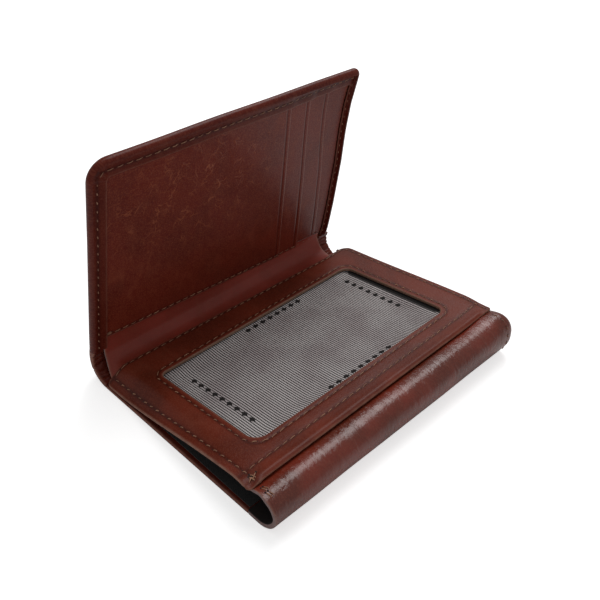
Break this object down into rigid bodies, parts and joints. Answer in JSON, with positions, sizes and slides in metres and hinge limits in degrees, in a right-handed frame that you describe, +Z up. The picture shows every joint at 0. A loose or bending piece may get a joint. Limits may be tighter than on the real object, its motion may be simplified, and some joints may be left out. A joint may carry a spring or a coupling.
{
  "type": "card holder",
  "caption": "Folding leather card holder standing half open: base with a mesh-covered card window and rolled front edge, soft spine, upright leaf with stepped card pockets.",
  "frame": {"origin": "on the table, on the underside of the base cover, near the middle of the base", "axes": "+X runs along the spine towards the end where the card pockets open, -Y points to the rolled front edge, +Z is up"},
  "size_m": [0.1065, 0.0854, 0.0781],
  "materials": {
    "outer_leather": "glazed reddish brown hide with a soft sheen",
    "pocket_leather": "thin glazed dark maroon hide",
    "lining_cloth": "plain black lining cloth",
    "window_cloth": "grey ribbed nylon",
    "stiffener_board": "bonded leather board, matte",
    "thread": "twisted tan brown thread"
  },
  "bodies": {
    "base": {"base_cover": "outer_leather", "base_lining": "lining_cloth", "front_roll": "outer_leather", "window_frame": "outer_leather", "window_mesh": "window_cloth", "id_pocket_lining": "window_cloth", "panel_edge_thread": "thread", "slit_thread": "thread", "window_thread": "thread", "roll_end_thread": "thread"},
    "spine": {"spine_cover": "outer_leather", "spine_gusset": "pocket_leather"},
    "leaf": {"leaf_cover": "outer_leather", "leaf_stiffener": "stiffener_board", "leaf_lining": "lining_cloth", "pocket_backing": "pocket_leather", "card_pocket_rear": "pocket_leather", "rear_pocket_tail": "lining_cloth", "card_pocket_middle": "pocket_leather", "middle_pocket_tail": "lining_cloth", "card_pocket_front": "pocket_leather", "leaf_edge_thread": "thread", "pocket_thread": "thread"}
  },
  "joints": [
    {"name": "spine_fold", "type": "hinge", "parent": "base", "child": "spine", "pos_m": [0, 0.0343, 0.00045], "axis": [1, 0, 0], "range_deg": [-50, 38]},
    {"name": "leaf_fold", "type": "hinge", "parent": "spine", "child": "leaf", "pos_m": [0, 0.04228, 0.00996], "axis": [1, 0, 0], "range_deg": [-50, 38]}
  ],
  "couplings": [
    {"joint": "leaf_fold", "follows": "spine_fold", "ratio": 1}
  ]
}
